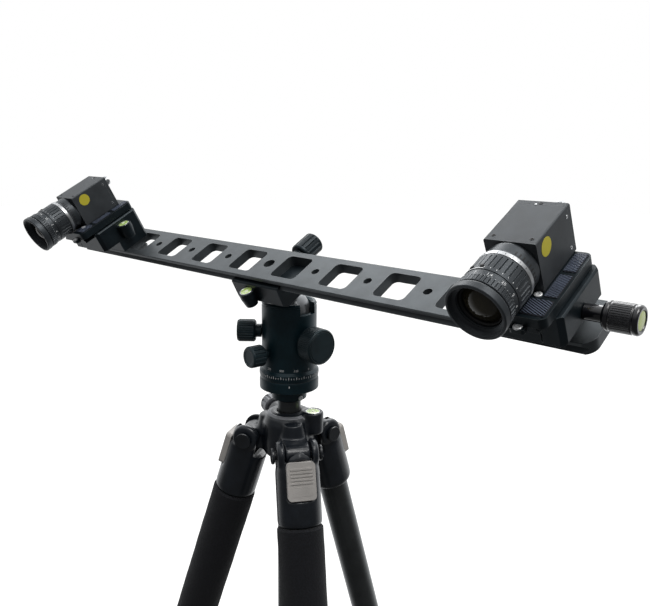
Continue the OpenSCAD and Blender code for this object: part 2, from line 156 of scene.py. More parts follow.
class Nodes:
    """Short names for building one material's node tree."""

    def __init__(self, name):
        self.material = bpy.data.materials.new(name)
        self.material.use_nodes = True
        self.tree = self.material.node_tree
        self.shader = self.tree.nodes["Principled BSDF"]

    def add(self, kind, **values):
        node = self.tree.nodes.new("ShaderNode" + kind)
        for key, value in values.items():
            setattr(node, key, value)
        return node

    def link(self, source, target):
        self.tree.links.new(source, target)

    def coordinates(self, stretch=(1, 1, 1)):
        where = self.add("TexCoord")
        scale = self.add("Mapping")
        scale.inputs["Scale"].default_value = stretch
        self.link(where.outputs["Object"], scale.inputs["Vector"])
        return scale.outputs["Vector"]

    def noise(self, size, vector, detail=3.0, roughness=0.55):
        """Noise whose features are about size mm across."""
        node = self.add("TexNoise")
        node.inputs["Scale"].default_value = 1 / (size * MM)
        node.inputs["Detail"].default_value = detail
        node.inputs["Roughness"].default_value = roughness
        self.link(vector, node.inputs["Vector"])
        return node.outputs["Fac"]

    def ramp(self, value, *stops):
        node = self.add("ValToRGB")
        elements = node.color_ramp.elements
        while len(elements) < len(stops):
            elements.new(0.5)
        for element, (place, colour) in zip(elements, stops):
            element.position = place
            element.color = (*colour, 1) if hasattr(colour, "__len__") else (colour,) * 3 + (1,)
        self.link(value, node.inputs["Fac"])
        return node.outputs["Color"]

    def between(self, value, low, high):
        node = self.add("MapRange")
        node.inputs["To Min"].default_value = low
        node.inputs["To Max"].default_value = high
        self.link(value, node.inputs["Value"])
        return node.outputs["Result"]

    def mix(self, factor, first, second, blend="MIX"):
        node = self.add("Mix", data_type="RGBA", blend_type=blend)
        self.put(node.inputs["Factor"], factor)
        self.put(node.inputs[6], first)
        self.put(node.inputs[7], second)
        return node.outputs[2]

    def put(self, socket, value):
        if hasattr(value, "links"):
            self.link(value, socket)
        elif hasattr(value, "__len__"):
            socket.default_value = (*value, 1)
        else:
            socket.default_value = value

    def edges(self, radius, strength):
        """1 along edges and 0 on open faces: where edges are painted lighter, partly for worn
        coating and partly as a painted highlight.
        """
        bevel = self.add("Bevel", samples=4)
        bevel.inputs["Radius"].default_value = radius * MM
        plain = self.add("NewGeometry")
        dot = self.add("VectorMath", operation="DOT_PRODUCT")
        self.link(bevel.outputs["Normal"], dot.inputs[0])
        self.link(plain.outputs["Normal"], dot.inputs[1])
        node = self.add("MapRange")
        node.inputs["From Min"].default_value = 0.98
        node.inputs["From Max"].default_value = 0.80
        node.inputs["To Max"].default_value = strength
        self.link(dot.outputs["Value"], node.inputs["Value"])
        return node.outputs["Result"]

    def bump(self, height, depth):
        node = self.add("Bump")
        node.inputs["Distance"].default_value = depth * MM
        self.link(height, node.inputs["Height"])
        self.link(node.outputs["Normal"], self.shader.inputs["Normal"])

    def set(self, **values):
        for key, value in values.items():
            self.put(self.shader.inputs[key.replace("_", " ")], value)


def finish_look(name, colour, rough, metal=0.0, grain=0.25, depth=0.02, spread=0.25, edge=0.0,
                edge_wear_and_highlight_colour=(0.35, 0.36, 0.38), edge_size=0.6, coat=0.0, stretch=(1, 1, 1)):
    """A coated or machined surface: broad tone changes, fine grain in gloss and bump, and
    lighter edges, partly where the coating is worn thin and partly as a painted highlight."""
    n = Nodes(name)
    vector = n.coordinates(stretch)
    broad = n.noise(14, vector, detail=2)
    fine = n.noise(grain, vector, detail=2)
    dark = tuple(c * (1 - spread) for c in colour)
    light = tuple(min(1, c * (1 + spread)) for c in colour)
    tone = n.ramp(broad, (0.35, dark), (0.65, light))
    # Edges painted lighter: partly coating worn thin, partly a painted highlight for the light
    # that edges catch.
    if edge:
        tone = n.mix(n.edges(edge_size, edge), tone, edge_wear_and_highlight_colour)
    n.link(tone, n.shader.inputs["Base Color"])
    mottled = n.mix(0.5, fine, broad)
    n.link(n.between(mottled, rough - 0.07, rough + 0.07), n.shader.inputs["Roughness"])
    n.bump(fine, depth)
    n.set(Metallic=metal)
    if coat:
        n.set(Coat_Weight=coat)
        n.shader.inputs["Coat Roughness"].default_value = 0.06
    return n.material


def foam_look():
    n = Nodes("foam")
    vector = n.coordinates()
    cells = n.add("TexVoronoi")
    cells.inputs["Scale"].default_value = 1 / (1.1 * MM)
    n.link(vector, cells.inputs["Vector"])
    pores = n.noise(0.7, vector, detail=4)
    height = n.mix(0.5, cells.outputs["Distance"], pores)
    tone = n.ramp(height, (0.25, (0.001, 0.001, 0.002)), (0.7, (0.005, 0.006, 0.010)))
    n.link(tone, n.shader.inputs["Base Color"])
    n.bump(height, 0.35)
    n.set(Roughness=0.9, Sheen_Weight=0.05)
    n.shader.inputs["Sheen Roughness"].default_value = 0.5
    return n.material


def fluid_look():
    """Fluid of a spirit level under its clear cover: swirls of two greens, with a faint painted
    glow that stands in for light on it.
    """
    n = Nodes("level_fluid")
    vector = n.coordinates()
    swirl = n.noise(3, vector, detail=1)
    tone = n.ramp(swirl, (0.3, (0.40, 0.56, 0.14)), (0.7, (0.64, 0.76, 0.34)))
    n.link(tone, n.shader.inputs["Base Color"])
    # The emission is a painted glow: the fluid gives no light.
    n.set(Roughness=0.12, Coat_Weight=1.0, Emission_Strength=0.12)
    n.shader.inputs["Coat Roughness"].default_value = 0.03
    n.shader.inputs["Emission Color"].default_value = (0.55, 0.75, 0.10, 1)
    n.shader.inputs["Subsurface Weight"].default_value = 0.1
    return n.material


def glass_look(name, colour, rough=0.02):
    """Coated optical glass: dark, a little see-through, with some dust on it."""
    n = Nodes(name)
    vector = n.coordinates()
    dust = n.noise(1.5, vector, detail=4)
    n.link(n.between(dust, rough, rough + 0.03), n.shader.inputs["Roughness"])
    n.put(n.shader.inputs["Base Color"], colour)
    n.set(Transmission_Weight=0.12, IOR=1.5)
    return n.material


def element_look():
    """Coated inner element: dark, with a cloudy olive and brown bloom."""
    n = Nodes("coated_element")
    vector = n.coordinates()
    cloud = n.noise(6, vector, detail=2)
    bloom = n.ramp(cloud, (0.3, (0.016, 0.015, 0.009)), (0.55, (0.045, 0.038, 0.018)),
                   (0.75, (0.075, 0.060, 0.034)))
    n.link(bloom, n.shader.inputs["Base Color"])
    n.set(Roughness=0.14)
    return n.material


def print_look(name, colour):
    """Paint filled into an engraving, or printed on a band."""
    n = Nodes(name)
    vector = n.coordinates()
    worn = n.noise(0.6, vector, detail=4)
    tone = n.ramp(worn, (0.3, tuple(c * 0.8 for c in colour)), (0.6, colour))
    n.link(tone, n.shader.inputs["Base Color"])
    n.bump(worn, 0.02)
    n.set(Roughness=0.5)
    return n.material


def paper_look(name, colour):
    n = Nodes(name)
    vector = n.coordinates()
    fibres = n.noise(0.5, vector, detail=5)
    tone = n.ramp(fibres, (0.3, tuple(c * 0.88 for c in colour)), (0.7, colour))
    n.link(tone, n.shader.inputs["Base Color"])
    n.bump(fibres, 0.03)
    n.set(Roughness=0.6)
    return n.material


def board_look():
    n = Nodes("circuit_board")
    vector = n.coordinates()
    weave = n.noise(0.8, vector, detail=2)
    tone = n.ramp(weave, (0.35, (0.01, 0.09, 0.03)), (0.65, (0.02, 0.16, 0.05)))
    n.link(tone, n.shader.inputs["Base Color"])
    n.bump(weave, 0.03)
    n.set(Roughness=0.4)
    return n.material


LOOKS = {
    "rail_anodised": finish_look(
        "rail_anodised", (0.075, 0.085, 0.092), 0.42, metal=0.55, grain=0.18, depth=0.012,
        spread=0.12, edge=0.75, edge_wear_and_highlight_colour=(0.30, 0.32, 0.33), edge_size=0.5),
    "camera_shell": finish_look(
        "camera_shell", (0.050, 0.056, 0.062), 0.55, metal=0.35, grain=0.3, depth=0.03,
        spread=0.15, edge=0.55, edge_wear_and_highlight_colour=(0.22, 0.23, 0.24), edge_size=0.4),
    "black_anodised": finish_look(
        "black_anodised", (0.010, 0.017, 0.022), 0.38, metal=0.5, grain=0.25, depth=0.02,
        spread=0.2, edge=0.5, edge_wear_and_highlight_colour=(0.16, 0.18, 0.18), edge_size=0.5),
    "lens_black": finish_look(
        "lens_black", (0.040, 0.046, 0.052), 0.40, metal=0.5, grain=0.2, depth=0.012,
        spread=0.15, edge=0.7, edge_wear_and_highlight_colour=(0.24, 0.26, 0.28), edge_size=0.3),
    "lens_band": finish_look("lens_band", (0.52, 0.53, 0.54), 0.34, metal=0.9, grain=0.15,
                             depth=0.008, spread=0.08),
    "baffle": finish_look("baffle", (0.006, 0.006, 0.007), 0.6, grain=0.3, depth=0.03),
    "gloss_knob": finish_look("gloss_knob", (0.004, 0.004, 0.006), 0.14, grain=0.5, depth=0.004,
                              spread=0.1, edge=0.35, edge_size=0.4, coat=0.8),
    "cap": finish_look("cap", (0.56, 0.66, 0.20), 0.3, grain=0.5, depth=0.01, spread=0.12,
                       coat=0.6),
    "black_paint": finish_look(
        "black_paint", (0.012, 0.014, 0.017), 0.34, metal=0.1, grain=0.5, depth=0.05,
        spread=0.2, edge=0.35, edge_wear_and_highlight_colour=(0.10, 0.11, 0.12), edge_size=0.9, coat=0.25),
    "grey_cast": finish_look(
        "grey_cast", (0.20, 0.205, 0.22), 0.42, metal=0.3, grain=0.5, depth=0.04, spread=0.1,
        edge=0.4, edge_wear_and_highlight_colour=(0.42, 0.42, 0.43), edge_size=0.6),
    "grey_plastic": finish_look(
        "grey_plastic", (0.50, 0.475, 0.45), 0.5, grain=0.4, depth=0.03, spread=0.06),
    "black_plastic": finish_look(
        "black_plastic", (0.016, 0.017, 0.019), 0.48, grain=0.35, depth=0.04, spread=0.2,
        edge=0.25, edge_wear_and_highlight_colour=(0.10, 0.10, 0.11), edge_size=0.5),
    "leg_tube": finish_look(
        "leg_tube", (0.075, 0.080, 0.082), 0.30, metal=0.75, grain=0.3, depth=0.008,
        spread=0.1, edge=0.4, edge_size=0.4),
    "steel": finish_look("steel", (0.55, 0.56, 0.57), 0.24, metal=1.0, grain=0.2, depth=0.01,
                         spread=0.08, edge=0.3, edge_wear_and_highlight_colour=(0.75, 0.75, 0.76)),
    "silver": finish_look("silver", (0.66, 0.67, 0.68), 0.28, metal=0.95, grain=0.2,
                          depth=0.01, spread=0.06),
    "head_black": finish_look(
        "head_black", (0.006, 0.024, 0.033), 0.36, metal=0.3, grain=0.3, depth=0.02,
        spread=0.2, edge=0.6, edge_wear_and_highlight_colour=(0.14, 0.17, 0.18), edge_size=0.5),
    "knob_black": finish_look(
        "knob_black", (0.010, 0.025, 0.032), 0.44, metal=0.3, grain=0.3, depth=0.02,
        spread=0.2, edge=0.6, edge_wear_and_highlight_colour=(0.10, 0.12, 0.13), edge_size=0.5),
    # Screw steel in a near-white, half-diffuse tone: the brightness is a painted glint.
    "steel_with_painted_glint": finish_look("steel_with_painted_glint", (0.86, 0.87, 0.88), 0.38, metal=0.4, grain=0.2,
                                depth=0.01, spread=0.06),
    "satin_ball": finish_look("satin_ball", (0.30, 0.31, 0.32), 0.3, metal=0.8, depth=0.01,
                              spread=0.08),
    "cast_black": finish_look(
        "cast_black", (0.010, 0.013, 0.018), 0.30, metal=0.1, grain=0.6, depth=0.06,
        spread=0.2, coat=0.3),
    "rubber": finish_look("rubber", (0.014, 0.015, 0.018), 0.62, grain=0.4, depth=0.05,
                          spread=0.25),
    "pad": finish_look("pad", (0.008, 0.009, 0.014), 0.55, grain=0.35, depth=0.03, spread=0.2),
    "pad_ribs": finish_look("pad_ribs", (0.080, 0.096, 0.135), 0.42, grain=0.35, depth=0.03,
                            spread=0.2),
    "foam": foam_look(),
    "fluid": fluid_look(),
    "bubble": paper_look("bubble", (0.85, 0.92, 0.70)),
    "white_print": print_look("white_print", (0.85, 0.86, 0.86)),
    "grey_print": print_look("grey_print", (0.42, 0.44, 0.45)),
    "sticker": paper_look("sticker", (0.60, 0.52, 0.035)),
    "front_glass": glass_look("front_glass", (0.045, 0.038, 0.022)),
    "element": element_look(),
    "board": board_look(),
    "gold": finish_look("gold", (0.75, 0.55, 0.2), 0.3, metal=1.0),
    "sensor": finish_look("sensor", (0.03, 0.02, 0.06), 0.12, metal=0.4, coat=0.8),
}

# ---------------------------------------------------------------- building


def add(name, mesh, at, look, body, smooth=30):
    """Makes a piece from a mesh drawn in mm in the frame `at`."""
    if isinstance(mesh, bmesh.types.BMesh):
        drawn = mesh
        mesh = bpy.data.meshes.new(name)
        bmesh.ops.recalc_face_normals(drawn, faces=drawn.faces)
        bmesh.ops.scale(drawn, vec=(MM, MM, MM), verts=drawn.verts)
        drawn.to_mesh(mesh)
        drawn.free()
    mesh.materials.clear()
    mesh.materials.append(LOOKS[look])
    mesh.shade_smooth()
    mesh.set_sharp_from_angle(angle=math.radians(smooth))
    piece = bpy.data.objects.new(name, mesh)
    bpy.context.scene.collection.objects.link(piece)
    piece.matrix_world = at
    even = piece.modifiers.new("even_shading", "WEIGHTED_NORMAL")
    even.keep_sharp = True
    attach(piece, body)
    return piece


def lathe(*outlines, steps=96, arc=360):
    """Turns closed (radius, height) outlines about Z. A point may carry a third value, the
    depth of the grip cuts at that point, as (radius, height, depth)."""
    return grip_lathe(outlines, 0, steps, arc)


def groove_wave(part, duty):
    """Depth of a grip cut at a share `part` of one pitch: a round-bottomed groove."""
    if part > duty:
        return 0.0
    return math.sin(math.pi * part / duty)


def grip_lathe(outlines, cuts, steps=96, arc=360, duty=0.35):
    bm = bmesh.new()
    if cuts:
        shares = [duty * k / 4 for k in range(5)] + [duty + (1 - duty) / 2]
        angles = [(i + s) * 2 * math.pi / cuts for i in range(cuts) for s in shares]
    else:
        angles = [math.radians(arc) * i / steps for i in range(steps + (arc < 360))]
    whole = arc >= 360
    for outline in outlines:
        rings = []
        for angle in angles:
            part = (angle * cuts / (2 * math.pi)) % 1 if cuts else 0
            if part > 1 - 1e-6:
                part = 0
            ring = []
            for point in outline:
                depth = point[2] if len(point) > 2 else 0
                r = point[0] - (depth * groove_wave(part, duty) if cuts else 0)
                ring.append(bm.verts.new((r * math.cos(angle), r * math.sin(angle), point[1])))
            rings.append(ring)
        count = len(rings)
        for i in range(count if whole else count - 1):
            a, b = rings[i], rings[(i + 1) % count]
            for k in range(len(outline)):
                m = (k + 1) % len(outline)
                corners = [a[k], b[k], b[m], a[m]]
                if outline[k][0] < 1e-6 and outline[m][0] < 1e-6:
                    continue
                bm.faces.new(corners)
        if not whole:
            bm.faces.new(rings[0])
            bm.faces.new(rings[-1])
    bmesh.ops.remove_doubles(bm, verts=bm.verts, dist=1e-5)
    bmesh.ops.dissolve_degenerate(bm, edges=bm.edges, dist=1e-5)
    return bm


def rounded(points, radius=0.4, steps=3):
    """An outline with its corners rounded by up to `radius`."""
    smooth = []
    count = len(points)
    for i, point in enumerate(points):
        here = Vector(point[:2])
        before = Vector(points[i - 1][:2]) - here
        after = Vector(points[(i + 1) % count][:2]) - here
        extra = tuple(point[2:])
        if here.x < 1e-6 or before.length < 1e-6 or after.length < 1e-6:
            smooth.append(tuple(point))
            continue
        reach = min(radius, before.length * 0.45, after.length * 0.45)
        first = here + before.normalized() * reach
        last = here + after.normalized() * reach
        for k in range(steps + 1):
            t = k / steps
            spot = first * (1 - t) ** 2 + here * 2 * t * (1 - t) + last * t ** 2
            smooth.append((spot.x, spot.y, *extra))
    return smooth


def prism(outline, z0, z1):
    """An outline in XY, extruded from z0 to z1."""
    bm = bmesh.new()
    low = [bm.verts.new((x, y, z0)) for x, y in outline]
    high = [bm.verts.new((x, y, z1)) for x, y in outline]
    bm.faces.new(low)
    bm.faces.new(high)
    for i in range(len(outline)):
        j = (i + 1) % len(outline)
        bm.faces.new([low[i], low[j], high[j], high[i]])
    return bm


def block_outline(w, d, r, x=0.0, y=0.0, steps=5):
    """A rectangle with round corners, centred on (x, y)."""
    points = []
    for corner, (sx, sy) in enumerate(((1, 1), (-1, 1), (-1, -1), (1, -1))):
        for k in range(steps + 1):
            a = math.radians(90 * corner + 90 * k / steps)
            points.append((x + sx * (w / 2 - r) + r * math.cos(a),
                           y + sy * (d / 2 - r) + r * math.sin(a)))
    return points


def join(*parts):
    """Puts several bmeshes into the first one."""
    first = parts[0]
    for part in parts[1:]:
        mesh = bpy.data.meshes.new("joined")
        part.to_mesh(mesh)
        part.free()
        first.from_mesh(mesh)
        bpy.data.meshes.remove(mesh)
    return first


def shifted(bm, matrix):
    """Moves a drawn shape by a matrix whose translation is in metres."""
    local = matrix.copy()
    local.translation = matrix.translation / MM
    bmesh.ops.transform(bm, matrix=local, verts=bm.verts)
    return bm


def round_edges(bm, width, angle=35, segments=2):
    sharp = [e for e in bm.edges if len(e.link_faces) == 2
             and e.calc_face_angle(0) > math.radians(angle)]
    bmesh.ops.bevel(bm, geom=sharp, offset=width, segments=segments, profile=0.6,
                    affect="EDGES", clamp_overlap=True)
    return bm


def node_shape(node, at):
    """A CAD node's mesh, welded, in mm in the frame `at`."""
    bm = bmesh.new()
    bm.from_mesh(frame["nodes"][node].data)
    bmesh.ops.transform(bm, matrix=Matrix.Scale(1 / MM, 4) @ at.inverted(), verts=bm.verts)
    bmesh.ops.remove_doubles(bm, verts=bm.verts, dist=0.002)
    bmesh.ops.dissolve_limit(bm, angle_limit=math.radians(0.6), verts=bm.verts,
                             edges=bm.edges)
    return bm


def body_of(node):
    return frame["nodes"][node]["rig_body"]


def refine(node, at, look, width=0.35, segments=2):
    """A CAD node's own shape with its machined edges broken, in place of the node."""
    bm = round_edges(node_shape(node, at), width, segments=segments)
    piece = add(node + "_finish", bm, at, look, body_of(node))
    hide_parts(node)
    return piece


def dress(node, look):
    """Gives a CAD node that is shown as it is a look."""
    kept = frame["nodes"][node].data.materials
    kept.clear()
    kept.append(LOOKS[look])


def sculpt(name, solids, cuts, at, look, body, voxel=0.9, passes=8):
    """A cast shape: solids melted together, cut, and smoothed so that every edge is round."""
    def scratch(bm, label):
        mesh = bpy.data.meshes.new(label)
        bmesh.ops.recalc_face_normals(bm, faces=bm.faces)
        bm.to_mesh(mesh)
        bm.free()
        obj = bpy.data.objects.new(label, mesh)
        bpy.context.scene.collection.objects.link(obj)
        return obj

    solid = scratch(join(*solids), name + "_solid")
    melt = solid.modifiers.new("melt", "REMESH")
    melt.mode = "VOXEL"
    melt.voxel_size = voxel
    tools = []
    for index, cut in enumerate(cuts):
        tool = scratch(cut, f"{name}_cut{index}")
        tools.append(tool)
        carve = solid.modifiers.new("carve", "BOOLEAN")
        carve.operation = "DIFFERENCE"
        carve.object = tool
        carve.solver = "EXACT"
    again = solid.modifiers.new("again", "REMESH")
    again.mode = "VOXEL"
    again.voxel_size = voxel
    soften = solid.modifiers.new("soften", "SMOOTH")
    soften.factor = 0.5
    soften.iterations = passes
    graph = bpy.context.evaluated_depsgraph_get()
    mesh = bpy.data.meshes.new_from_object(solid.evaluated_get(graph))
    for scrap in [solid, *tools]:
        bpy.data.objects.remove(scrap)
    mesh.transform(Matrix.Scale(MM, 4))
    return add(name, mesh, at, look, body, smooth=60)


# ---------------------------------------------------------------- small shared shapes


def socket_head(radius, height, key):
    """A screw head with a hexagonal socket, standing on Z = 0."""
    bm = bmesh.new()
    rows = []
    steps = 36
    for i in range(steps):
        a = 2 * math.pi * i / steps
        hexagon = key / math.cos((a % (math.pi / 3)) - math.pi / 6)
        row = [(radius, 0), (radius, height * 0.75), (radius * 0.93, height * 0.93),
               (radius * 0.84, height), (hexagon * 1.04, height), (hexagon, height * 0.94),
               (hexagon, height * 0.4), (0, height * 0.3)]
        rows.append([bm.verts.new((r * math.cos(a), r * math.sin(a), z)) for r, z in row])
    for i in range(steps):
        a, b = rows[i], rows[(i + 1) % steps]
        for k in range(len(a) - 1):
            bm.faces.new([a[k], b[k], b[k + 1], a[k + 1]])
    bm.faces.new([row[0] for row in reversed(rows)])
    bmesh.ops.remove_doubles(bm, verts=bm.verts, dist=1e-5)
    return bm


def dome(radius, height, crown, steps=8):
    """Outline of a disc on Z = 0 with a domed top: `height` at its rim, `crown` more inside."""
    arc = [(radius * math.cos(math.radians(90 * k / steps)),
            height + crown * math.sin(math.radians(90 * k / steps))) for k in range(steps)]
    return [(0, 0), (radius * 0.98, 0), (radius, 0.05), *arc, (0, height + crown)]


def arc_band(radius, z0, z1, start, sweep, thick=0.05):
    """A thin printed band round a cylinder, from one angle over a sweep, in degrees."""
    steps = max(2, int(abs(sweep) / 3))
    bm = lathe([(radius - thick, z0), (radius + thick, z0), (radius + thick, z1),
                (radius - thick, z1)], steps=steps, arc=sweep)
    return shifted(bm, turn(start, "Z"))


def ticks(radius, z0, z1, width, angles):
    """Short printed lines along Z round a cylinder."""
    half = math.degrees(width / 2 / radius)
    return join(*[arc_band(radius, z0, z1, a - half, 2 * half) for a in angles])


def numbers(entries, radius, z, height, up=-1, thick=0.04):
    """Numerals printed round a cylinder about Z. `entries` are (text, angle); with up = -1
    their tops point to -Z, and with up = 1 to +Z."""
    whole = bmesh.new()
    for text, angle in entries:
        curve = bpy.data.curves.new("numeral", "FONT")
        curve.body = text
        curve.size = height
        curve.align_x = "CENTER"
        curve.align_y = "CENTER"
        curve.extrude = thick
        curve.resolution_u = 3
        holder = bpy.data.objects.new("numeral", curve)
        bpy.context.scene.collection.objects.link(holder)
        graph = bpy.context.evaluated_depsgraph_get()
        mesh = bpy.data.meshes.new_from_object(holder.evaluated_get(graph))
        bpy.data.objects.remove(holder)
        for v in mesh.vertices:
            a = math.radians(angle) + up * v.co.x / radius
            r = radius + v.co.z
            v.co = Vector((r * math.cos(a), r * math.sin(a), z + up * v.co.y))
        whole.from_mesh(mesh)
        bpy.data.meshes.remove(mesh)
    bmesh.ops.remove_doubles(whole, verts=whole.verts, dist=1e-5)
    return whole


def spirit_level(name, at, radius, body):
    """A round spirit level: metal rim, coloured fluid under a domed cover, and its bubble."""
    rim = rounded([(radius, -0.2), (radius + 0.7, -0.2), (radius + 0.7, 0.35), (radius, 0.35)],
                  0.2)
    add(name + "_rim", lathe(rim), at, "silver", body)
    add(name + "_fluid", lathe(dome(radius, 2.1, 0.5)), at @ move(z=-2.1), "fluid", body)
    add(name + "_bubble", lathe(dome(radius * 0.36, 0.12, 0.28)),
        at @ move(x=radius * 0.22, y=-radius * 0.1, z=0.30), "bubble", body)
    circle = rounded([(radius * 0.52, 0), (radius * 0.58, 0), (radius * 0.58, 0.5),
                      (radius * 0.52, 0.5)], 0.03)
    add(name + "_circle", lathe(circle, steps=48), at @ move(z=-0.08), "baffle", body)


def turned_knob(node, at, outline, cuts, duty, look, steps=96):
    """A knob with its shaft, in place of its CAD node."""
    shape = grip_lathe([outline], cuts, duty=duty) if cuts else lathe(outline, steps=steps)
    piece = add(node + "_turned", shape, at, look, body_of(node), smooth=40)
    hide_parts(node)
    return piece


# ---------------------------------------------------------------- rail and bolts

refine("rail", RAIL, "rail_anodised", width=0.45)
refine("clamp_screws", RAIL, "steel", width=0.4)

# ---------------------------------------------------------------- clamps

CLAMP_HALF = 27
SCREW_Z = 16.5
KNOB_GAP = 0.3


def clamp_knob_outline():
    grip = 0.4
    return rounded([
        (0, -36), (3, -36), (3, 0), (4.5, 0), (4.5, 10.4), (6.6, 10.4), (7.9, 11.7), (7.9, 13.3),
        (7.5, 13.6), (7.5, 14.2), (7.9, 14.5), (7.9, 14.9, grip), (7.9, 24.6, grip), (7.9, 25),
        (7.5, 25.3), (7.5, 25.9), (7.9, 26.2), (7.9, 27.8), (7.1, 28.8), (5.5, 28.8),
        (5.3, 28.1), (0, 28.1)], 0.35)


for side in SIDES:
    at = clamp_frame(side)
    refine(side + "_clamp", at, "black_anodised", width=0.6)
    refine(side + "_clamp_jaw", at, "black_anodised", width=0.6)
    knob_at = at @ move(x=CLAMP_HALF + KNOB_GAP, z=SCREW_Z) @ turn(90, "Y")
    knob = side + "_clamp_knob"
    turned_knob(knob, knob_at, clamp_knob_outline(), 40, 0.5, "gloss_knob")
    add(knob + "_cap", lathe(dome(5.2, 0.25, 0.4)), knob_at @ move(z=28.05), "cap",
        body_of(knob))
    lug = (-CLAMP_HALF - 3.5, 4 if side == "right" else -4, 24.5)
    spirit_level(side + "_level", at @ move(*lug), 4.5, "beam")

refine("head_clamp", RAIL, "black_anodised", width=0.6)
refine("head_clamp_jaw", RAIL, "black_anodised", width=0.6)
spirit_level("head_level", RAIL @ move(-7, -25.5, -9.5), 4.5, "ball")
turned_knob("head_clamp_knob", RAIL @ move(y=24.3, z=-13.5) @ turn(-90, "X"), rounded([
    (0, -33), (3, -33), (3, 0), (5.5, 0), (5.5, 6.5), (8, 6.5), (9, 7.8), (9, 9),
    (9, 9.4, 0.7), (9, 24.2, 0.7), (9, 24.6), (9, 25.6), (8.2, 26.5), (6.4, 26.5),
    (6.2, 26.2), (0, 26.2)], 0.35), 16, 0.45, "black_anodised")

# ---------------------------------------------------------------- plates

DECK_Z = 30


def clipped(points, low, high):
    """A convex outline cut to the band low <= y <= high."""
    for sign, limit in ((1, high), (-1, low)):
        kept = []
        for i, (x, y) in enumerate(points):
            last_x, last_y = points[i - 1]
            if (sign * y > sign * limit) != (sign * last_y > sign * limit):
                share = (limit - last_y) / (y - last_y)
                kept.append((last_x + (x - last_x) * share, limit))
            if sign * y <= sign * limit:
                kept.append((x, y))
        points = kept
    return points


def pad_base(x0, x1, y0, y1):
    """The flat part of a rubber pad."""
    outline = block_outline(x1 - x0, y1 - y0, 0.8, (x0 + x1) / 2, (y0 + y1) / 2, steps=3)
    return round_edges(prism(outline, 0, 0.3), 0.08)


def pad_ribs(x0, x1, y0, y1, slope, pitch=1.3, thick=0.6, edge=0.4):
    """Slanting ribs that end at the pad's border."""
    parts = []
    rise = slope * (x1 - x0 - 2 * edge)
    slant = math.hypot(1, slope)
    pitch, thick = pitch * slant, thick * slant
    low, high = y0 + edge, y1 - edge
    y = low - max(0, rise)
    while y < high + max(0, -rise):
        band = [(x0 + edge, y), (x1 - edge, y + rise), (x1 - edge, y + rise + thick),
                (x0 + edge, y + thick)]
        corners = clipped(band, low, high)
        if corners and max(c[1] for c in corners) - min(c[1] for c in corners) > thick:
            parts.append(round_edges(prism(corners, 0.25, 0.75), 0.1, segments=1))
        y += pitch
    return join(*parts)


PAD_GROUPS = [(15.3, 22.6, -6.5, 10.2, 0.9), (15.3, 22.6, -28.5, -9.5, 0.9),
              (9.6, 22.6, -43.5, -31.0, -0.55)]
PAD_GROUPS += [(-x1, -x0, y0, y1, -slope) for x0, x1, y0, y1, slope in PAD_GROUPS]

for side in SIDES:
    at = plate_frame(side)
    body = body_of(side + "_plate")
    refine(side + "_plate", at, "black_anodised", width=0.5)
    for index, group in enumerate(PAD_GROUPS, 1):
        add(f"{side}_pad_{index}", pad_base(*group[:4]), at @ move(z=PLATE_TOP), "pad", body)
        add(f"{side}_pad_ribs_{index}", pad_ribs(*group), at @ move(z=PLATE_TOP), "pad_ribs",
            body)
    add(side + "_camera_screw", socket_head(4.6, 2.6, 2.0),
        at @ move(y=-6, z=DECK_Z + 0.3) @ turn(180, "X"), "steel", body)
    add(side + "_stop_boss", round_edges(prism(block_outline(8, 5, 1.5, 9.7, -47), 27.5, 30.2),
                                         0.3), at, "black_anodised", body)
    # A screw head in near-white steel: its brightness is a painted glint.
    add(side + "_stop_screw", socket_head(2.5, 0.8, 1.0), at @ move(x=9.7, y=-47.2, z=30.1),
        "steel_with_painted_glint", body)

# ---------------------------------------------------------------- cameras


def network_socket():
    """The shell of a shielded socket; its stepped mouth is a piece of its own."""
    shell = prism(block_outline(17, 14, 0.8), -3.5, 0.2)
    return round_edges(shell, 0.25)


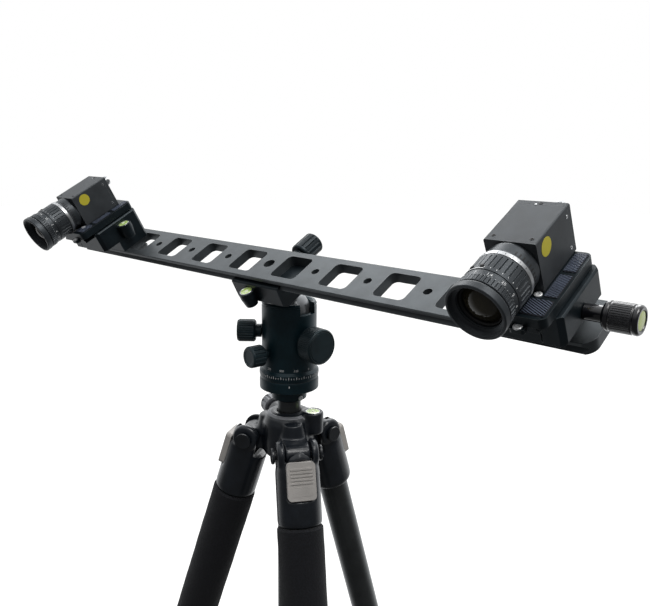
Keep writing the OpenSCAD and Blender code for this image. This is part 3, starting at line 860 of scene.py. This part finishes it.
for side in SIDES:
    at = camera_frame(side)
    body = body_of(side + "_housing")
    refine(side + "_housing", at, "camera_shell", width=0.35)
    panel = add(side + "_rear_plate", round_edges(prism(block_outline(CAM_W, CAM_W, 1), 0, 2.95),
                                                  0.3), at, "camera_shell", body)
    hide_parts(side + "_rear_panel")
    add(side + "_network_shell", network_socket(), at @ move(x=-3, y=-4), "silver", body)
    add(side + "_network_mouth", round_edges(join(
        prism(block_outline(12.2, 7.6, 0.3), -3.6, -3.3),
        prism(block_outline(5, 2.4, 0.2, 0, -4.6), -3.6, -3.3)), 0.05), at @ move(x=-3, y=-3),
        "baffle", body)
    add(side + "_network_contacts", join(*[
        prism(block_outline(0.45, 3.2, 0.1, -3.5 + k), -3.75, -3.5) for k in range(8)]),
        at @ move(x=-3, y=-1.4), "gold", body)
    add(side + "_power_socket", lathe(rounded([
        (3.1, 0.2), (4.2, 0.2), (4.2, -0.8), (3.9, -1.0), (4.2, -1.3), (3.9, -1.6), (4.2, -1.9),
        (3.9, -2.2), (4.2, -2.5), (3.9, -2.8), (4.2, -3.1), (3.9, -3.4), (4.2, -3.7),
        (4.2, -5), (3.1, -5)], 0.1), steps=48), at @ move(x=7, y=8.5), "silver", body)
    add(side + "_power_pins", join(
        lathe([(0, 0), (3.15, 0), (3.15, -2.4), (0, -2.4)], steps=36),
        *[shifted(lathe(dome(0.4, 1.2, 0.3), steps=16), move(
            1.8 * math.cos(math.radians(60 * k)), 1.8 * math.sin(math.radians(60 * k)), -3.8))
          for k in range(6)]), at @ move(x=7, y=8.5), "baffle", body)
    add(side + "_status_light", lathe(dome(1.3, 0.3, 0.7), steps=32),
        at @ move(x=-7, y=8.5) @ turn(180, "X"), "cap", body)
    for k, x in enumerate((-11, 11)):
        add(f"{side}_panel_screw_{k + 1}", socket_head(1.6, 0.9, 0.7),
            at @ move(x=x, y=-12, z=0.1) @ turn(180, "X"), "steel", body)
    # screws that close the shell: two over the front, one behind, and two on each side
    for k, (x, z) in enumerate(((-10.5, CAM_LEN - 4), (10.5, CAM_LEN - 4), (0, 2))):
        add(f"{side}_top_screw_{k + 1}", socket_head(1.15, 0.5, 0.5),
            at @ move(x=x, y=CAM_W / 2 - 0.35, z=z) @ turn(-90, "X"), "baffle", body)
    add(side + "_top_pin", lathe(dome(0.7, 0.2, 0.25), steps=24),
        at @ move(x=-2.4, y=CAM_W / 2 - 0.15, z=3.2) @ turn(-90, "X"), "steel", body)
    for face in (-1, 1):
        for k, y in enumerate((-9.5, 9.5)):
            add(f"{side}_side_screw_{'lr'[face > 0]}{k + 1}", socket_head(1.1, 0.5, 0.5),
                at @ move(x=face * (CAM_W / 2 - 0.3), y=y, z=5) @ turn(90 * face, "Y"), "steel",
                body)
    # A screw head in near-white steel: its brightness is a painted glint.
    add(side + "_corner_screw", socket_head(2.1, 0.8, 0.9),
        at @ move(x=CAM_W / 2 - 2.3, y=PLATE_TOP - LENS_Z, z=CAM_LEN + 2.6) @ turn(-90, "X"),
        "steel_with_painted_glint", body)
    ahead = 9 if side == "right" else 10.2
    add(side + "_sticker", lathe(rounded([(0, 0), (5.1, 0), (5.1, 0.14), (0, 0.14)], 0.06)),
        at @ move(x=CAM_W / 2 - 0.02, y=7.3, z=CAM_LEN - ahead) @ turn(90, "Y"), "sticker",
        body)
    dress(side + "_sensor_board", "board")
    add(side + "_sensor", round_edges(prism(block_outline(9, 7, 0.3), 23.4, 23.9), 0.08), at,
        "sensor", body)

# ---------------------------------------------------------------- lenses

BAND_R = 15.6


def filter_thread():
    """Fine thread inside the front rim, from the rim inwards."""
    pitch = 0.5
    rows = []
    for k in range(6):
        z = 39.5 - k * pitch
        r = 14.8 - k * 0.06
        rows += [(r, z), (r - 0.22, z - pitch / 2)]
    return rows


for side in SIDES:
    at = lens_frame(side)
    body = body_of(side + "_lens_barrel")
    mount = add(side + "_lens_mount", lathe(rounded([
        (9, -3.5), (12.6, -3.5), (12.6, 0.1), (14.1, 0.1), (14.6, 1.6), (14.6, 7.9),
        (15.3, 8.6), (15.3, 9.3), (15, 9.4), (15, 11.9), (13, 11.95), (13, 31), (11.9, 31),
        (11.9, 18), (9, 12)], 0.2), steps=128), at, "lens_black", body)
    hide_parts(side + "_lens_barrel")
    add(side + "_lens_band", lathe(rounded([(14.9, 9.4), (15.65, 9.4), (15.65, 12),
                                            (14.9, 12)], 0.25), steps=128), at, "lens_band",
        body)
    add(side + "_depth_scale", ticks(14.64, 5.2, 7.6, 0.8, range(-20, 62, 9)), at, "baffle",
        body)
    add(side + "_band_marks", ticks(15.66, 10.2, 11.3, 0.25, range(30, 151, 15)), at, "baffle",
        body)

    body = body_of(side + "_aperture_ring")
    cut = 0.6
    ring = add(side + "_aperture_grip", grip_lathe([rounded([
        (13.05, 12.3), (BAND_R, 12.3), (BAND_R, 13.2), (BAND_R, 13.5, cut),
        (BAND_R, 22.4, cut), (BAND_R, 22.7), (BAND_R, 25), (13.05, 25)], 0.2)], 34, duty=0.3),
        at, "lens_black", body, smooth=40)
    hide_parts(side + "_aperture_ring")
    # A thin white arc, 50° long, round the aperture ring near its top edge.
    add(side + "_white_arc", arc_band(BAND_R + 0.03, 24.0, 24.5, 92, 50), at, "white_print",
        body)
    add(side + "_aperture_scale", ticks(BAND_R + 0.03, 22.9, 23.7, 0.3, range(20, 100, 12)),
        at, "white_print", body)
    for k, angle in enumerate((98, 121)):
        add(f"{side}_lock_screw_{k + 1}", lathe(rounded([
            (0, -0.6), (1.15, -0.6), (1.15, 0.75), (0.6, 0.95), (0, 0.95)], 0.15), steps=32),
            at @ turn(angle, "Z") @ move(x=BAND_R - 0.25, z=22.6) @ turn(90, "Y"), "baffle", body)

    body = body_of(side + "_focus_ring")
    cut = 0.5
    ring = add(side + "_focus_grip", grip_lathe([rounded([
        (13.05, 25.3), (15.4, 25.3), (15.4, 29.4), (16, 29.6), (16, 30, cut), (16, 33.5, cut),
        (16, 33.9), (15.6, 34.3), (15, 34.4), (15, 35), (16.3, 35.3), (16.5, 35.8),
        (16.5, 39.5), (16.05, 40), (14.9, 40), *filter_thread(), (12.9, 36.2), (12.6, 36.1),
        (12.6, 35.3), (12.4, 35.2), (12.4, 33), (13.05, 32.5)], 0.12)], 50, duty=0.35),
        at, "lens_black", body, smooth=40)
    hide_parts(side + "_focus_ring")
    scale = [("1.4", 73), ("25", 44), ("2", 17), ("4", -8), ("8", -33), ("1", 102), ("5", 130)]
    add(side + "_focus_numbers", numbers(scale, 15.42, 27.5, 2.5), at, "white_print", body)
    add(side + "_focus_scale", ticks(15.42, 28.7, 29.3, 0.3, range(-60, 150, 7)), at,
        "grey_print", body)

    body = body_of(side + "_glass")
    element = add(side + "_front_element", lathe(rounded([
        (0, 31.2), (10.4, 31.2), (10.9, 31.7), (10.9, 32.6),
        *[(14.4 * math.sin(math.radians(t)), 22.9 + 14.4 * math.cos(math.radians(t)))
          for t in range(46, 0, -4)], (0, 37.3)], 0.1), steps=128), at, "front_glass", body)
    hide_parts(side + "_glass")
    add(side + "_retaining_ring", lathe(rounded([
        (10.7, 30.6), (11.75, 30.6), (11.75, 31.4), (12.25, 33.1), (12.25, 34.1), (11.7, 34.3),
        (11.0, 33.4), (10.95, 31.1)], 0.12), steps=128), at, "baffle", body)
    add(side + "_baffle", lathe([
        (11.75, 30.7), (10.2, 30.6), (10.0, 29.6), (9.4, 29.5), (9.2, 28.5), (8.8, 28.4),
        (8.6, 27.4), (8.3, 27.2), (8.3, 26), (11.75, 26)], steps=96), at, "baffle", body)
    add(side + "_inner_element", lathe(dome(8.6, 0.3, 2.2), steps=96), at @ move(z=26.1),
        "element", body)

# ---------------------------------------------------------------- ball head

HOUSING_R = 22.5
FLANGE_R = 24.5

refine("head_housing", BALL, "head_black", width=0.4)
refine("head_base", BALL, "head_black", width=0.4)
refine("column_top", BALL, "head_black", width=0.5)
refine("ball_stem", RIG, "satin_ball", width=0.3)
add("pan_scale", ticks(FLANGE_R + 0.02, -52.6, -51.2, 0.35, range(0, 360, 5)), BALL,
    "white_print", "head")
add("pan_scale_long", ticks(FLANGE_R + 0.02, -52.6, -50.5, 0.45, range(0, 360, 15)), BALL,
    "white_print", "head")
add("pan_numbers", numbers([(str(d), d) for d in range(0, 360, 30)], HOUSING_R + 0.02, -45.9,
                           2.6, up=1), BALL, "white_print", "head")
add("pan_index", ticks(FLANGE_R + 0.02, -59.5, -57.9, 0.7, (-44, 136)), BALL, "white_print",
    "column")
# A screw head in near-white steel: its brightness is a painted glint.
add("grub_screw", socket_head(2.1, 1.2, 0.8), BALL @ facing(-5, -72.5, 14.4), "steel_with_painted_glint",
    "column")

MAIN_KNOB = BALL @ facing(-4, -23.5, 24.8)
turned_knob("main_knob", MAIN_KNOB, rounded([
    (0, -5.3), (4, -5.3), (4, 0), (8, 0), (8, 0.8), (12.7, 0.8), (14.3, 2.2), (14.3, 2.6, 0.5),
    (14.3, 13.2, 0.5), (14.3, 13.6), (14.3, 14.4), (13.3, 15.5), (12.8, 15.5), (12.6, 15.1),
    (12.2, 15.1), (12, 15.5), (0, 15.5)], 0.2), 60, 0.5, "knob_black")
turned_knob("drag_knob", BALL @ facing(-137, -18, 22.8), rounded([
    (0, -3.3), (3, -3.3), (3, 0), (5.5, 0), (5.5, 4.5), (7.9, 4.5), (9.25, 5.8),
    (9.25, 6.3, 0.5), (9.25, 17.4, 0.5), (9.25, 17.9), (8.3, 19.5), (6.3, 19.5), (6.1, 19.2),
    (0, 19.2)], 0.25), 26, 0.5, "knob_black")
PAN_KNOB_Z = (joint_point("pan_knob_turn") - BALL.translation).z / MM
turned_knob("pan_knob", BALL @ facing(-98, PAN_KNOB_Z, 24.8), rounded([
    (0, -11.3), (3, -11.3), (3, 0), (5.5, 0), (5.5, 2), (7.5, 2), (8.75, 3.3),
    (8.75, 3.8, 0.7), (8.75, 13.2, 0.7), (8.75, 13.7), (7.9, 15), (5.8, 15), (5.5, 14.7),
    (0, 14.7)], 0.25), 16, 0.45, "knob_black")

# ---------------------------------------------------------------- tripod

UPPER_END = -440
ARM_W = 21
EAR_W = 34
LEG_AZIMUTH = {leg: math.degrees(math.atan2(joint_point(leg + "_spread").y,
                                            joint_point(leg + "_spread").x)) for leg in LEGS}
HINGE_R = joint_point("front_leg_spread").xy.length / MM


def post(radius, z0, z1, crown=1.5, steps=40):
    """A round solid with softened ends."""
    return lathe(rounded([(0, z0), (radius, z0), (radius, z1), (0, z1)], crown), steps=steps)


def block(x0, x1, y0, y1, z0, z1):
    return prism([(x0, y0), (x1, y0), (x1, y1), (x0, y1)], z0, z1)


LEVEL_R = 21
LEVEL_AZIMUTH = math.radians(26)


def over_level(z=0.0):
    """A frame on the axis of the tripod's spirit level."""
    return move(LEVEL_R * math.cos(LEVEL_AZIMUTH), LEVEL_R * math.sin(LEVEL_AZIMUTH), z)


def hub_solids():
    solids = [lathe([(0, -12), (20, -12), (22, -9), (22, 16), (19.5, 22), (14, 26), (0, 26)],
                    steps=64)]
    for azimuth in LEG_AZIMUTH.values():
        out = turn(azimuth, "Z")
        solids.append(shifted(block(8, HINGE_R, -ARM_W / 2, ARM_W / 2, -9, 9), out))
        solids.append(shifted(post(9, -ARM_W / 2, ARM_W / 2), out @ move(x=HINGE_R)
                              @ turn(90, "X")))
        # shoulder that runs from the hub down over the arm
        solids.append(shifted(lathe([(0, 0), (12.5, 0), (9, 16), (0, 17.5)], steps=40),
                              out @ move(x=17, z=4)))
    solids.append(shifted(post(8, 4, 31), facing(157, 15)))
    solids.append(shifted(post(9, 8, 27), over_level()))
    return solids


spider = sculpt("spider_casting", hub_solids(), [
    lathe([(0, -20), (9.85, -20), (9.85, 40), (0, 40)], steps=64),
    shifted(lathe([(0, 0), (6.3, 0), (6.3, 9), (0, 9)], steps=40), over_level(24))],
    HUB, "cast_black", "tripod")
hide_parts("spider")
cup = add("tripod_level_cup", lathe(rounded([
    (0, -0.5), (6.2, -0.5), (6.2, 2.2), (5.2, 2.2), (5.2, 1), (0, 1)], 0.2), steps=64),
    HUB @ over_level(24.2), "black_plastic", "tripod")
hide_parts("tripod_level")
spirit_level("tripod_level_vial", HUB @ over_level(26.3), 5.4, "tripod")
deck = lathe(rounded([(11.5, 0), (18.5, 0), (18.5, 0.8), (16, 2.2), (11.5, 2.2)], 0.4),
               steps=64)
add("hub_collar", deck, HUB @ move(z=22.5), "grey_cast", "tripod")
pins = add("leg_hinge_pins", round_edges(node_shape("leg_hinge_bolts", HUB), 0.8), HUB,
           "black_paint", "tripod")
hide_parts("leg_hinge_bolts")
turned_knob("column_lock_knob", HUB @ facing(157, 15, 31.3), rounded([
    (0, -20), (3, -20), (3, 0), (5, 0), (5, 3), (7.6, 3), (9, 4.4), (9, 5, 0.9), (9, 15.5, 0.9),
    (9, 16), (7.6, 18), (0, 18)], 0.6), 10, 0.5, "grey_cast")


def plain_tube(node, outer, inner, z0, z1, look, at):
    piece = add(node + "_sleeve", lathe(rounded([(inner, z0), (outer, z0), (outer, z1),
                                                 (inner, z1)], 0.3), steps=128), at, look,
                body_of(node))
    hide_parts(node)
    return piece


plain_tube("column_tube", 9.75, 8.15, -327, -77.05, "leg_tube", BALL)


def foam_shape(outer, inner, z0, z1):
    """A foam sleeve: soft ends and a faintly uneven skin."""
    rows = 110
    steps = 96
    bm = bmesh.new()
    rings = []
    for k in range(rows + 1):
        z = z0 + (z1 - z0) * k / rows
        near = min(z - z0, z1 - z)
        soft = 1.4 * (1 - math.sqrt(max(0, 1 - (1 - min(1, near / 1.8)) ** 2)))
        ring = []
        for i in range(steps):
            a = 2 * math.pi * i / steps
            lump = 0.07 * math.sin(3 * a + z * 0.11) + 0.05 * math.sin(7 * a - z * 0.31)
            ring.append(bm.verts.new(((outer - 0.1 - soft + lump) * math.cos(a),
                                      (outer - 0.1 - soft + lump) * math.sin(a), z)))
        rings.append(ring)
    for z in (z1, z0):
        rings.append([bm.verts.new((inner * math.cos(2 * math.pi * i / steps),
                                    inner * math.sin(2 * math.pi * i / steps), z))
                      for i in range(steps)])
    for k in range(len(rings)):
        a, b = rings[k], rings[(k + 1) % len(rings)]
        for i in range(steps):
            j = (i + 1) % steps
            bm.faces.new([a[i], a[j], b[j], b[i]])
    return bm


def casting_solids():
    """A leg's top casting: shoulder over the hinge, round shell, and a brow near its top."""
    shell = lathe(rounded([(0, -55.6), (17.2, -55.6), (18, -53), (18, -12), (15.5, -2),
                           (10, 3), (0, 5)], 2.5), steps=64)
    shoulder = shifted(lathe(rounded([(0, -EAR_W / 2), (10, -EAR_W / 2), (12, -EAR_W / 2 + 2.5),
                                      (12, EAR_W / 2 - 2.5), (10, EAR_W / 2), (0, EAR_W / 2)],
                                     1.5), steps=48), turn(90, "X"))
    brow = shifted(lathe([(0, -9), (9, -8), (12, 0), (9, 8), (0, 9)], steps=48),
                   move(x=4.5, z=-5) @ turn(90, "X"))
    return [shell, shoulder, brow]


def casting_cuts():
    return [block(-30, 12.3, -ARM_W / 2 - 0.5, ARM_W / 2 + 0.5, -13.5, 17),
            block(-31, -10.5, -20, 20, -15, 26),
            shifted(prism(block_outline(31.4, 24, 3.2), 12.9, 30), move(z=-18.9) @ turn(90, "Y"))]


def tab_shape():
    """The angle stop's tab: a rounded pad with grip ridges on its upper half."""
    pad = round_edges(prism(block_outline(29.6, 22.6, 3.2), 0, 5.3), 0.7)
    ridges = [round_edges(prism(block_outline(1.3, 17.5, 0.6, -9.6 + 2.7 * k), 5.0, 5.95), 0.3)
              for k in range(5)]
    window = round_edges(prism(block_outline(7.5, 15.5, 1.0, 7.6), 5.0, 5.5), 0.2)
    return join(pad, *ridges, window)


for leg in LEGS:
    at = leg_frame(leg)
    top = sculpt(leg + "_casting", casting_solids(), casting_cuts(), at, "cast_black", leg,
                 passes=6)
    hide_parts(leg + "_top")
    tab = add(leg + "_tab_pad", tab_shape(), at @ move(x=13.3, z=-19) @ turn(90, "Y"),
              "grey_plastic", leg + "_stop")
    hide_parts(leg + "_tab")
    plain_tube(leg + "_tube", 13, 11.5, UPPER_END, -18, "leg_tube", at)
    plain_tube(leg + "_lower", 11.45, 9.95, -542, -60, "leg_tube", at)
    collar = add(leg + "_lock_grip", grip_lathe([rounded([
        (13.1, -420), (16.3, -420), (16.5, -421), (16.5, -424), (17.5, -425), (17.5, -427, 1.1),
        (17.5, -455, 1.1), (17.5, -457), (16.5, -458), (16.5, -461), (16.3, -462),
        (11.6, -462), (11.6, -440.4), (13.1, -440.2)], 0.5)], 18, duty=0.4), at, "rubber",
        body_of(leg + "_lock"))
    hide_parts(leg + "_lock")
    refine(leg + "_foot", at, "rubber", width=0.8)
    if leg + "_grip" in frame["nodes"]:
        grip = add(leg + "_foam", foam_shape(18.7, 13.05, -235, -56), at, "foam", leg)
        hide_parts(leg + "_grip")

# ---------------------------------------------------------------- floor, light, camera


def disc(name, radius, z, material):
    mesh = bpy.data.meshes.new(name)
    bm = bmesh.new()
    bmesh.ops.create_circle(bm, cap_ends=True, radius=radius, segments=96)
    bm.to_mesh(mesh)
    bm.free()
    mesh.materials.append(material)
    floor = bpy.data.objects.new(name, mesh)
    bpy.context.scene.collection.objects.link(floor)
    floor.location.z = z
    return floor


def floor_look():
    """Pale studio floor. It glows a little, so that it meets the pale wall without a line."""
    n = Nodes("floor")
    vector = n.coordinates()
    cloud = n.noise(900, vector, detail=2)
    tone = n.ramp(cloud, (0.3, (0.50, 0.495, 0.485)), (0.7, (0.56, 0.56, 0.555)))
    n.link(tone, n.shader.inputs["Base Color"])
    n.set(Roughness=0.9, Emission_Strength=0.62)
    n.shader.inputs["Emission Color"].default_value = (1.0, 0.995, 0.98, 1)
    n.shader.inputs["Specular IOR Level"].default_value = 0.0
    return n.material


WALL_AZIMUTH = 223
WALL_TONE = (1.0, 1.0, 1.0)


def world_light():
    """What lights the object: a bright wall behind it and a soft ceiling, in a darker room.
    What is seen past the object is one plain pale tone."""
    world = bpy.data.worlds.new("studio")
    world.use_nodes = True
    tree = world.node_tree
    lit = tree.nodes["Background"]
    where = tree.nodes.new("ShaderNodeTexCoord")

    def toward(direction, start, end, amount):
        dot = tree.nodes.new("ShaderNodeVectorMath")
        dot.operation = "DOT_PRODUCT"
        dot.inputs[1].default_value = direction
        tree.links.new(where.outputs["Generated"], dot.inputs[0])
        soft = tree.nodes.new("ShaderNodeMapRange")
        soft.interpolation_type = "SMOOTHSTEP"
        soft.inputs["From Min"].default_value = start
        soft.inputs["From Max"].default_value = end
        soft.inputs["To Max"].default_value = amount
        tree.links.new(dot.outputs["Value"], soft.inputs["Value"])
        return soft.outputs["Result"]

    a = math.radians(WALL_AZIMUTH)
    wall = toward((math.sin(a), -math.cos(a), 0), -0.1, 0.8, 0.95)
    ceiling = toward((0, 0, 1), 0.1, 1.0, 0.75)
    total = tree.nodes.new("ShaderNodeMath")
    tree.links.new(wall, total.inputs[0])
    tree.links.new(ceiling, total.inputs[1])
    room = tree.nodes.new("ShaderNodeMath")
    room.inputs[1].default_value = 0.10
    tree.links.new(total.outputs["Value"], room.inputs[0])
    tree.links.new(room.outputs["Value"], lit.inputs["Strength"])
    lit.inputs["Color"].default_value = (0.97, 0.985, 1.0, 1)
    seen = tree.nodes.new("ShaderNodeBackground")
    seen.inputs["Color"].default_value = (*WALL_TONE, 1)
    rays = tree.nodes.new("ShaderNodeLightPath")
    choose = tree.nodes.new("ShaderNodeMixShader")
    tree.links.new(rays.outputs["Is Camera Ray"], choose.inputs["Fac"])
    tree.links.new(lit.outputs["Background"], choose.inputs[1])
    tree.links.new(seen.outputs["Background"], choose.inputs[2])
    tree.links.new(choose.outputs["Shader"], tree.nodes["World Output"].inputs["Surface"])
    bpy.context.scene.world = world


def softbox(name, azimuth, elevation, distance, size, power, colour=(1, 1, 1)):
    """An area light that looks at the ball."""
    light = bpy.data.lights.new(name, "AREA")
    light.shape = "RECTANGLE"
    light.size, light.size_y = size
    light.energy = power
    light.color = colour
    lamp = bpy.data.objects.new(name, light)
    bpy.context.scene.collection.objects.link(lamp)
    a, e = math.radians(azimuth), math.radians(elevation)
    back = Vector((math.sin(a) * math.cos(e), -math.cos(a) * math.cos(e), math.sin(e)))
    lamp.location = BALL.translation + back * distance
    lamp.rotation_mode = "QUATERNION"
    lamp.rotation_quaternion = back.to_track_quat("Z", "Y")
    return lamp


floor = disc("floor", 9.0, 0.0, floor_look())
floor.visible_diffuse = False
floor.visible_glossy = False
world_light()
softbox("key", 80, 58, 2.2, (1.2, 1.2), 26, (1.0, 0.99, 0.97))
softbox("rim", 215, 40, 2.2, (1.8, 1.0), 18)

VIEW_AZIMUTH = 42.96
VIEW_ELEVATION = 12.59
VIEW_ROLL = 0.72
VIEW_DISTANCE = 0.575
VIEW_TARGET = Vector((20.5, 20.7, 5.4)) * MM
LENS_MM = 39.0


def shoot():
    data = bpy.data.cameras.new("photo_camera")
    data.sensor_width = 36
    data.lens = LENS_MM
    data.clip_start = 0.02
    data.clip_end = 100
    camera = bpy.data.objects.new("photo_camera", data)
    bpy.context.scene.collection.objects.link(camera)
    a, e, r = (math.radians(v) for v in (VIEW_AZIMUTH, VIEW_ELEVATION, VIEW_ROLL))
    back = Vector((math.sin(a) * math.cos(e), -math.cos(a) * math.cos(e), math.sin(e)))
    level = (-back).cross(Vector((0, 0, 1))).normalized()
    upright = level.cross(-back)
    right = level * math.cos(r) + upright * math.sin(r)
    up = upright * math.cos(r) - level * math.sin(r)
    camera.matrix_world = Matrix((right, up, back)).transposed().to_4x4()
    camera.location = BALL.translation + VIEW_TARGET + back * VIEW_DISTANCE
    bpy.context.scene.camera = camera


shoot()
bpy.context.scene.view_settings.view_transform = "Standard"

dress("ball_race", "silver")
